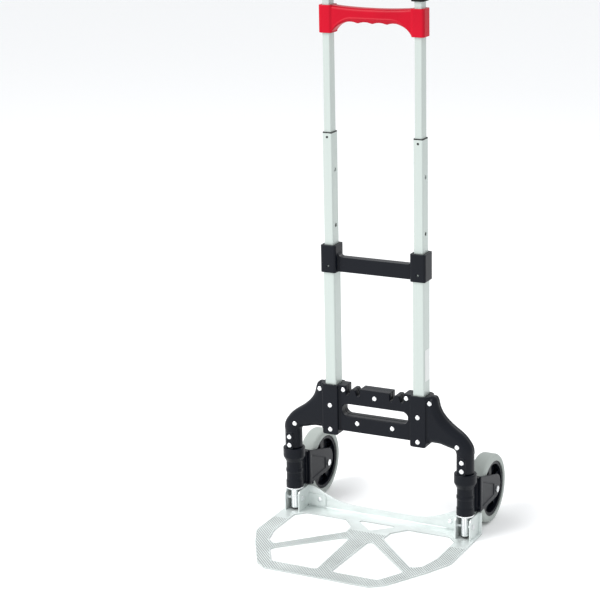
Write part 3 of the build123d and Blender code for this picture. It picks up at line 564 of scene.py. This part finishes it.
def set_in_place(name, shape, places, slot, body, *nodes):
    """One piece of many copies of a master shape, at (place, facing) pairs."""
    tree = bpy.data.node_groups.get("set_in_place") or setting_tree()
    mesh = bpy.data.meshes.new(name)
    mesh.from_pydata([place for place, _ in places], [], [])
    facing = mesh.attributes.new("facing", "FLOAT_VECTOR", "POINT")
    facing.data.foreach_set("vector", np.array([way for _, way in places], float).ravel())
    piece = bpy.data.objects.new(name, mesh)
    bpy.context.scene.collection.objects.link(piece)
    maker = piece.modifiers.new("setting", "NODES")
    maker.node_group = tree
    sockets = {item.name: item.identifier for item in tree.interface.items_tree if item.in_out == "INPUT"}
    maker[sockets["Shape"]] = shape
    maker[sockets["Size"]] = 1.0
    maker[sockets["Finish"]] = FINISHES[slot]
    settle(piece)
    return fit(piece, slot, body, *nodes)


def rivet_head():
    """Master shape of a domed rivet head with a dimple, its seat at height 0."""
    r = sizes().rivets
    dome = [(0, -0.5 * MM), (0.72 * r.radius, -0.5 * MM), (r.radius, 0), (r.radius, 0.22 * r.rise)]
    for angle in (30, 52, 70):
        a = math.radians(angle)
        dome.append((r.radius * math.cos(a), r.rise * (0.22 + 0.78 * math.sin(a))))
    dome += [(r.dimple, r.rise), (0.6 * r.dimple, 0.72 * r.rise), (0, 0.66 * r.rise)]
    return spun("rivet_master", dome, 28)


# ---- operators --------------------------------------------------------------------------------------------
class Maker:
    """What every operator of the hand truck shares."""
    bl_options = {"REGISTER", "UNDO"}


# Name, place, what it points at, size in metres, power in watts.
LAMPS = (
    ("key", (-1.5, -1.9, 2.7), (0, 0, 0.4), 1.8, 100),
    ("fill", (2.4, -1.9, 1.1), (0, 0, 0.4), 1.2, 3),
    ("back", (0.6, 2.4, 2.2), (0, 0, 0.5), 1.2, 16),
)
CAMERA_PLACE = (1.371, -2.997, 1.375)
CAMERA_TURN_DIP_ROLL = (26.93, 16.02, -1.21)
FOCAL_LENGTH = 116.3
STUDIO_HALF_WIDTH = 12


class HANDTRUCK_OT_stage(Maker, bpy.types.Operator):
    """Floor, soft lights and camera"""
    bl_idname = "hand_truck.stage"
    bl_label = "Stage"

    def execute(self, context):
        scene = context.scene
        scene.view_settings.view_transform = "Standard"
        made = bmesh.new()
        bmesh.ops.create_grid(made, x_segments=1, y_segments=1, size=STUDIO_HALF_WIDTH)
        floor = new_piece("floor", made)
        floor.data.materials.append(studio_floor("studio_paper", sizes().finishes.floor))
        world = bpy.data.worlds.new("studio")
        world.use_nodes = True
        sky = world.node_tree.nodes["Background"]
        sky.inputs["Color"].default_value = (0.97, 0.985, 1.0, 1)
        sky.inputs["Strength"].default_value = 1.0
        scene.world = world
        for name, place, aim, size, power in LAMPS:
            lamp = bpy.data.lights.new(name, "AREA")
            lamp.size, lamp.energy = size, power
            light = bpy.data.objects.new(name, lamp)
            light.location = place
            light.rotation_euler = (Vector(place) - Vector(aim)).to_track_quat("Z", "Y").to_euler()
            scene.collection.objects.link(light)
        lens = bpy.data.cameras.new("camera")
        lens.lens, lens.sensor_width, lens.clip_end = FOCAL_LENGTH, 36, 100
        camera = bpy.data.objects.new("camera", lens)
        turn, dip, roll = (math.radians(angle) for angle in CAMERA_TURN_DIP_ROLL)
        ahead = Vector((-math.sin(turn), math.cos(turn), 0))
        right = Vector((math.cos(turn), math.sin(turn), 0))
        up = Vector((0, 0, 1))
        look = ahead * math.cos(dip) - up * math.sin(dip)
        crown = up * math.cos(dip) + ahead * math.sin(dip)
        side = right * math.cos(roll) + crown * math.sin(roll)
        top = crown * math.cos(roll) - right * math.sin(roll)
        facing = Matrix((side, top, -look)).transposed().to_4x4()
        camera.matrix_world = Matrix.Translation(CAMERA_PLACE) @ facing
        scene.collection.objects.link(camera)
        scene.camera = camera
        return {"FINISHED"}


class HANDTRUCK_OT_finishes(Maker, bpy.types.Operator):
    """The finishes that the pieces share"""
    bl_idname = "hand_truck.finishes"
    bl_label = "Finishes"

    def execute(self, context):
        FINISHES.update(make_finishes())
        return {"FINISHED"}


ARM_START = (0.1025, 0.108)      # across, where a mast collar ends and its arm begins
ARM_FOOT = (0.1632, 0.1640)      # height at which an arm turns into its leg collar
ARM_WALL = (0.0112, 0.0138)      # front to back, the band of side wall that gives the outline
ARM_WALL_START = (0.1035, 0.1646)       # across and up, where that band begins
RIVET_SEAT = 0.0045              # radius round a rivet that isn't part of the outline
EDGE_SHARE = 0.2                 # thickness of an arm at its edge, as a share of its middle


class HANDTRUCK_OT_frame_shells(Maker, bpy.types.Operator):
    """The two moulded half shells of the lower frame"""
    bl_idname = "hand_truck.frame_shells"
    bl_label = "Frame shells"

    def execute(self, context):
        rivets = [((low[0] + high[0]) / 2, (low[2] + high[2]) / 2) for low, high in islands("arm_rivets")]
        limb = sizes().moulding.limb_radius

        def on_arm(co):
            """1 on the arms, 0 on the collars of the mast and of the legs."""
            return step(*ARM_START, np.abs(co[:, 0])) * step(*ARM_FOOT, co[:, 2])

        def round_arms(piece, co):
            """Turn each arm from a flat plate into a limb of elliptic section."""
            x, depth, z = np.abs(co[:, 0]), np.abs(co[:, 1]), co[:, 2]
            way = np.zeros(len(co) * 3)
            piece.data.vertices.foreach_get("normal", way)
            side_wall = np.abs(way.reshape(-1, 3)[:, 1]) < 0.35
            side_wall &= (depth > ARM_WALL[0]) & (depth < ARM_WALL[1])
            side_wall &= (x > ARM_WALL_START[0]) & (z > ARM_WALL_START[1])
            for rivet_x, rivet_z in rivets:
                side_wall &= np.hypot(co[:, 0] - rivet_x, z - rivet_z) > RIVET_SEAT
            outline = np.unique(np.round(co[side_wall][:, (0, 2)], 4), axis=0)
            tree = KDTree(len(outline))
            for i, (edge_x, edge_z) in enumerate(outline):
                tree.insert((edge_x, edge_z, 0), i)
            tree.balance()
            arm = on_arm(co)
            for i in np.flatnonzero(arm > 0):
                inside = min(1, tree.find((co[i, 0], co[i, 2], 0))[2] / limb)
                section = EDGE_SHARE + (1 - EDGE_SHARE) * math.sqrt(1 - (1 - inside) ** 2)
                co[i, 1] *= 1 + arm[i] * (section - 1)
            return co

        for node in ("frame_front_shell", "frame_rear_shell"):
            piece = moulding(node + "_moulding", node, sizes().moulding.skin, on_arm, shape=round_arms, after=8)
            fit(piece, "black_plastic", BODY_OF[node], node)
        return {"FINISHED"}


class HANDTRUCK_OT_mast_bracket(Maker, bpy.types.Operator):
    """The bracket that ties the outer tubes together"""
    bl_idname = "hand_truck.mast_bracket"
    bl_label = "Mast bracket"

    def execute(self, context):
        piece = moulding("mast_bracket_moulding", "mast_bracket", sizes().moulding.fine_skin)
        fit(piece, "black_plastic", BODY_OF["mast_bracket"], "mast_bracket")
        return {"FINISHED"}


GRIP_END = (0.060, 0.074)        # across, where the soft rounding of a grip fades out
GRIP_FACE = (0.006, 0.009)       # front to back, where a grip's faces begin
ARCH_TOP, ARCH_FALL = 0.0265, 0.019     # the raised line over its handle's foot, and how far it falls
ARCH_FLAT, ARCH_END = 0.036, 0.073      # across, where the line leaves the level and where it ends
RIDGE_END = (0.070, 0.0735)      # across, where the line fades out
DOT_ROWS, DOT_COLUMNS = 12, 8
ROW_SHARE = 0.87                 # from one row of dots to the next, as a share of the pitch
DOTS_START, DOTS_DROP = 0.0500, 0.0045  # across to the first column, and down to the first row
DOT = [(0, -0.0002), (0.0009, -0.0002), (0.0008, 0.0002), (0.0004, 0.0004), (0, 0.00045)]


class HANDTRUCK_OT_handles(Maker, bpy.types.Operator):
    """Release handle and top handle"""
    bl_idname = "hand_truck.handles"
    bl_label = "Handles"

    def execute(self, context):
        m = sizes().moulding

        def soft(co):
            """1 on the grips, 0 on the collars."""
            return 1 - step(*GRIP_END, np.abs(co[:, 0]))

        def ridge(_, co):
            """Raise a line over the arch and lean the lip below it inwards, on both faces."""
            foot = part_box("release_handle")[0].z
            x = np.abs(co[:, 0])
            bend = np.clip((x - ARCH_FLAT) / (ARCH_END - ARCH_FLAT), 0, 1) ** 2
            crown = foot + ARCH_TOP - ARCH_FALL * bend
            between = 1 - step(*RIDGE_END, x)
            rise = np.exp(-((co[:, 2] - crown) / m.ridge_width) ** 2) * between
            fall = np.clip((crown - co[:, 2]) / m.lip_height, 0, 1) * between
            outer = step(*GRIP_FACE, np.abs(co[:, 1]))
            co[:, 1] += np.sign(co[:, 1]) * (m.ridge * rise - m.lip_depth * fall) * outer
            return co

        for node, slot, shape in (("release_handle", "red_plastic", ridge), ("top_handle", "soft_black", None)):
            piece = moulding(node + "_moulding", node, m.fine_skin, soft, m.soft_rounds, shape, keep=0.6)
            fit(piece, slot, BODY_OF[node], node)
        self.dots(piece, m.dot_pitch)
        return {"FINISHED"}

    @staticmethod
    def dots(grip, pitch):
        """Cover both ends of the top handle's grip with rows of small dots."""
        surface = BVHTree.FromObject(grip, bpy.context.evaluated_depsgraph_get())
        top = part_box("top_handle")[1].z
        places = []
        for side in (-1, 1):
            for way in (-1, 1):
                for row in range(DOT_ROWS):
                    for column in range(DOT_COLUMNS):
                        x = side * (DOTS_START + column * pitch + (row % 2) * pitch / 2)
                        z = top - DOTS_DROP - row * pitch * ROW_SHARE
                        eye = Vector((x, way * 0.05, z))
                        hit, normal, _, _ = surface.ray_cast(eye, Vector((0, -way, 0)))
                        if hit is not None and normal.y * way > 0.85 and abs(hit.y) > 0.008:
                            places.append((tuple(hit), tuple(normal)))
        dot = spun("dot_master", DOT, 8)
        set_in_place("top_handle_grip_dots", dot, places, "soft_black", BODY_OF["top_handle"])
        bpy.data.objects.remove(dot)


LEG_SPREAD = 0.170               # from the middle of the hand truck to a leg
CHEEK_FACE = (0.0200, 0.0206)    # from the leg's axis, just inside the outer face of a cheek
CHEEK_PANEL = np.array([(0.030, 0.054), (0.088, 0.0565), (0.088, 0.078), (0.030, 0.102)])  # depth, height
PANEL_SLOPE = 0.0012             # across the sloping edge of that panel


class HANDTRUCK_OT_forks(Maker, bpy.types.Operator):
    """Swivel forks of the wheels"""
    bl_idname = "hand_truck.forks"
    bl_label = "Forks"

    def execute(self, context):
        depth = sizes().moulding.panel_depth
        for side_name, side in SIDES:
            node = f"wheel_fork_{side_name}"
            middle = side * LEG_SPREAD

            def press(_, co):
                """Press a four-cornered panel into each cheek."""
                inside = np.full(len(co), 1.0)
                for a, b in zip(CHEEK_PANEL, np.roll(CHEEK_PANEL, -1, 0)):
                    along = (b - a) / np.linalg.norm(b - a)
                    inner = np.array((-along[1], along[0]))
                    inside = np.minimum(inside, (co[:, 1:] - a) @ inner)
                out = np.abs(co[:, 0] - middle)
                pressed = step(0, PANEL_SLOPE, inside) * step(*CHEEK_FACE, out)
                co[:, 0] -= np.sign(co[:, 0] - middle) * depth * pressed
                return co

            piece = moulding(node + "_moulding", node, sizes().moulding.fine_skin, shape=press)
            fit(piece, "black_plastic", BODY_OF[node], node)
        return {"FINISHED"}


class HANDTRUCK_OT_wheels(Maker, bpy.types.Operator):
    """Rims, tyres, axles and nuts"""
    bl_idname = "hand_truck.wheels"
    bl_label = "Wheels"

    def execute(self, context):
        for side_name, _ in SIDES:
            crisp(f"wheel_rim_{side_name}", "black_plastic", 0.9 * MM, 3)
            crisp(f"tread_{side_name}", "tyre", 0.5 * MM)
            crisp(f"wheel_bush_{side_name}", "nylon")
            crisp(f"axle_{side_name}", "steel")
            crisp(f"axle_nut_{side_name}", "steel")
            crisp(f"swivel_bush_{side_name}", "nylon")
        return {"FINISHED"}


SHARP = math.radians(50)         # edges of the plate that are rounded
TOUCH = 1e-7                     # in a cut, points nearer to its plane than this lie on it


def with_edges(faces):
    """The faces with their edges and corners, as a cut wants them."""
    parts = set(faces)
    for face in faces:
        parts.update(face.edges)
        parts.update(face.verts)
    return list(parts)


class HANDTRUCK_OT_toe_plate(Maker, bpy.types.Operator):
    """Toe plate with its grooved faces"""
    bl_idname = "hand_truck.toe_plate"
    bl_label = "Toe plate"

    def execute(self, context):
        p = sizes().plate
        made = welded("toe_plate")
        bmesh.ops.dissolve_limit(made, angle_limit=FLAT, verts=made.verts, edges=made.edges)
        sharp = [edge for edge in made.edges
                 if len(edge.link_faces) == 2 and edge.calc_face_angle() > SHARP]
        bmesh.ops.bevel(made, geom=sharp, offset=p.edge, segments=2, profile=0.5,
                        affect="EDGES", clamp_overlap=True)
        made.faces.layers.int.new("region")
        made.faces.ensure_lookup_table()
        top = max(v.co.z for v in made.verts if v.co.y < -0.1)
        region = [face for face in made.faces if face.normal.z > 0.99
                  and abs(face.calc_center_median().z - top) < 0.1 * MM
                  and face.calc_center_median().y < -0.01]
        region = self.split(made, region, Vector((0, -p.smooth_strip, 0)), Vector((0, 1, 0)))
        region = [f for f in region if f.calc_center_median().y < -p.smooth_strip]
        for face in made.faces:
            face[made.faces.layers.int["region"]] = 0
        for face in region:
            face[made.faces.layers.int["region"]] = 1
        rim = bmesh.ops.inset_region(made, faces=region, thickness=p.border, use_even_offset=True)
        for face in rim["faces"]:
            face[made.faces.layers.int["region"]] = 0
        self.groove(made, [f for f in region if f.is_valid], p)
        piece = new_piece("toe_plate_pressing", made)
        shade_smooth(piece, 35)
        fit(piece, "plate_aluminium", BODY_OF["toe_plate"], "toe_plate")
        return {"FINISHED"}

    @staticmethod
    def split(made, faces, place, normal):
        """Cut some faces along a plane and give back all the faces they became."""
        marked = made.faces.layers.int["region"]
        for face in made.faces:
            face[marked] = 0
        for face in faces:
            face[marked] = 1
        crossed = []
        for face in faces:
            sides = [(vert.co - place).dot(normal) for vert in face.verts]
            if min(sides) < 0 < max(sides):
                crossed.append(face)
        bmesh.ops.bisect_plane(made, geom=with_edges(crossed), dist=0.001 * MM, plane_co=place, plane_no=normal)
        return [f for f in made.faces if f[marked] == 1]

    def groove(self, made, faces, p):
        """Cut V grooves across the faces, all in one direction."""
        across = Vector((1, 1, 0)).normalized()
        bmesh.ops.triangulate(made, faces=faces)
        marked = made.faces.layers.int["region"]
        faces = [f for f in made.faces if f[marked] == 1 and f.normal.z > 0.99]
        spread = [v.co.dot(across) for f in faces for v in f.verts]
        count = int((max(spread) - min(spread)) / p.pitch)
        for k in range(1, count + 1):
            centre = min(spread) + k * p.pitch
            for offset in (-p.groove_width / 2, 0, p.groove_width / 2):
                line = centre + offset
                crossed = []
                for face in faces:
                    sides = [vert.co.dot(across) for vert in face.verts]
                    if min(sides) < line - TOUCH and max(sides) > line + TOUCH:
                        crossed.append(face)
                if not crossed:
                    continue
                cut = bmesh.ops.bisect_plane(
                    made, geom=with_edges(crossed), dist=TOUCH, plane_co=across * line, plane_no=across)
                fresh = {f for f in cut["geom"] if isinstance(f, bmesh.types.BMFace)}
                faces = [f for f in faces if f.is_valid and f not in fresh] + list(fresh)
        lowest = min(spread)
        for vert in {v for f in faces for v in f.verts}:
            off = (vert.co.dot(across) - lowest) % p.pitch
            if min(off, p.pitch - off) < 20 * TOUCH:
                vert.co.z -= p.groove_depth


class HANDTRUCK_OT_hinges(Maker, bpy.types.Operator):
    """Hinge brackets and their pins"""
    bl_idname = "hand_truck.hinges"
    bl_label = "Hinges"

    def execute(self, context):
        for side_name, _ in SIDES:
            crisp(f"hinge_bracket_{side_name}", "plate_aluminium", 0.4 * MM)
            crisp(f"hinge_pin_{side_name}", "steel", 0.3 * MM)
        return {"FINISHED"}


class HANDTRUCK_OT_mast(Maker, bpy.types.Operator):
    """Mast tubes, legs, bushes and their lugs, glides, plugs and the label"""
    bl_idname = "hand_truck.mast"
    bl_label = "Mast"

    def execute(self, context):
        for side_name, _ in SIDES:
            for stage in ("outer", "middle", "upper"):
                crisp(f"{stage}_tube_{side_name}", "mast_aluminium", 0.2 * MM)
            for part in ("outer_bush", "middle_bush", "middle_glide", "upper_glide"):
                crisp(f"{part}_{side_name}", "nylon")
            crisp(f"leg_tube_{side_name}", "steel", 0.2 * MM)
        crisp("mast_plugs", "nylon")
        crisp("leg_foot_caps", "nylon", 0.4 * MM)
        crisp("swivel_washers", "steel")
        crisp("blank_label", "label", 0)
        lug = sizes().lugs
        master = spun("lug_master", [
            (0, -lug.sunk), (lug.radius, -lug.sunk), (lug.radius, 0.5 * lug.rise),
            (0.85 * lug.radius, lug.rise), (0, lug.rise)], 24)
        places = []
        for side_name, _ in SIDES:
            low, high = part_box(f"middle_tube_{side_name}")
            x, z = (low.x + high.x) / 2, high.z - lug.drop
            places += [((x, low.y, z), (0, -1, 0)), ((x, high.y, z), (0, 1, 0))]
        set_in_place("bush_lugs", master, places, "nylon", BODY_OF["middle_bush_left"])
        bpy.data.objects.remove(master)
        return {"FINISHED"}


class HANDTRUCK_OT_release_gear(Maker, bpy.types.Operator):
    """Rods, pins and springs of the release gear"""
    bl_idname = "hand_truck.release_gear"
    bl_label = "Release gear"

    def execute(self, context):
        for node in BODY_OF:
            if node.startswith(("release_rod", "release_cross", "upper_lock_pin", "middle_lock_pin")):
                crisp(node, "steel", 0.2 * MM)
        crisp("lock_springs", "steel", 0)
        coils = new_piece("return_spring_coils", welded("return_springs"))
        shade_smooth(coils)
        fit(coils, "steel", BODY_OF["return_springs"], "return_springs")
        low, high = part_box("return_springs")
        lift = next(joint for joint in frame["joints"] if joint["name"] == "release_handle_lift")
        keep = 1 - max(lift["range_m"]) / (high.z - low.z)
        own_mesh(coils)
        return {"FINISHED"}


class HANDTRUCK_OT_rivets(Maker, bpy.types.Operator):
    """Domed rivets through the shells and the flange"""
    bl_idname = "hand_truck.rivets"
    bl_label = "Rivets"

    def execute(self, context):
        head = rivet_head()
        rise = sizes().rivets.rise
        for node in ("crossbar_rivets", "arm_rivets", "mast_foot_rivets", "leg_rivets", "flange_rivets"):
            places = []
            for low, high in islands(node):
                x, z = (low[0] + high[0]) / 2, (low[2] + high[2]) / 2
                places.append(((x, low[1] + rise, z), (0, -1, 0)))
                places.append(((x, high[1] - rise, z), (0, 1, 0)))
            set_in_place(node + "_heads", head, places, "rivet", BODY_OF[node], node)
        bpy.data.objects.remove(head)
        return {"FINISHED"}


class HANDTRUCK_OT_screws(Maker, bpy.types.Operator):
    """Screws of the bracket and the top handle"""
    bl_idname = "hand_truck.screws"
    bl_label = "Screws"

    def execute(self, context):
        for node in ("bracket_screws", "handle_screws"):
            crisp(node, "steel", 0.3 * MM)
        return {"FINISHED"}


class HANDTRUCK_PT_panel(bpy.types.Panel):
    """Lists what makes the hand truck"""
    bl_label = "Hand Truck"
    bl_idname = "HANDTRUCK_PT_panel"
    bl_space_type = "VIEW_3D"
    bl_region_type = "UI"
    bl_category = "Hand Truck"

    def draw(self, context):
        for operator in OPERATORS:
            self.layout.operator(operator.bl_idname)
        for group in ("finishes", "moulding", "plate", "rivets", "lugs"):
            box = self.layout.box()
            values = getattr(context.scene.hand_truck, group)
            for name in values.__annotations__:
                box.prop(values, name)


GROUPS = (FinishColours, MouldingSizes, PlateSizes, RivetSizes, LugSizes, HandTruckSizes)
OPERATORS = (
    HANDTRUCK_OT_stage, HANDTRUCK_OT_finishes, HANDTRUCK_OT_frame_shells, HANDTRUCK_OT_mast_bracket,
    HANDTRUCK_OT_handles, HANDTRUCK_OT_forks, HANDTRUCK_OT_wheels, HANDTRUCK_OT_toe_plate,
    HANDTRUCK_OT_hinges, HANDTRUCK_OT_mast, HANDTRUCK_OT_release_gear, HANDTRUCK_OT_rivets,
    HANDTRUCK_OT_screws,
)


def register():
    """Make the groups, operators and panel known."""
    for kind in (*GROUPS, *OPERATORS, HANDTRUCK_PT_panel):
        bpy.utils.register_class(kind)
    bpy.types.Scene.hand_truck = PointerProperty(type=HandTruckSizes)


def unregister():
    """Take them away again."""
    del bpy.types.Scene.hand_truck
    for kind in reversed((*GROUPS, *OPERATORS, HANDTRUCK_PT_panel)):
        bpy.utils.unregister_class(kind)


def main():
    """Register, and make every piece."""
    register()
    for operator in OPERATORS:
        group, name = operator.bl_idname.split(".")
        getattr(getattr(bpy.ops, group), name)()


if __name__ == "__main__":
    main()
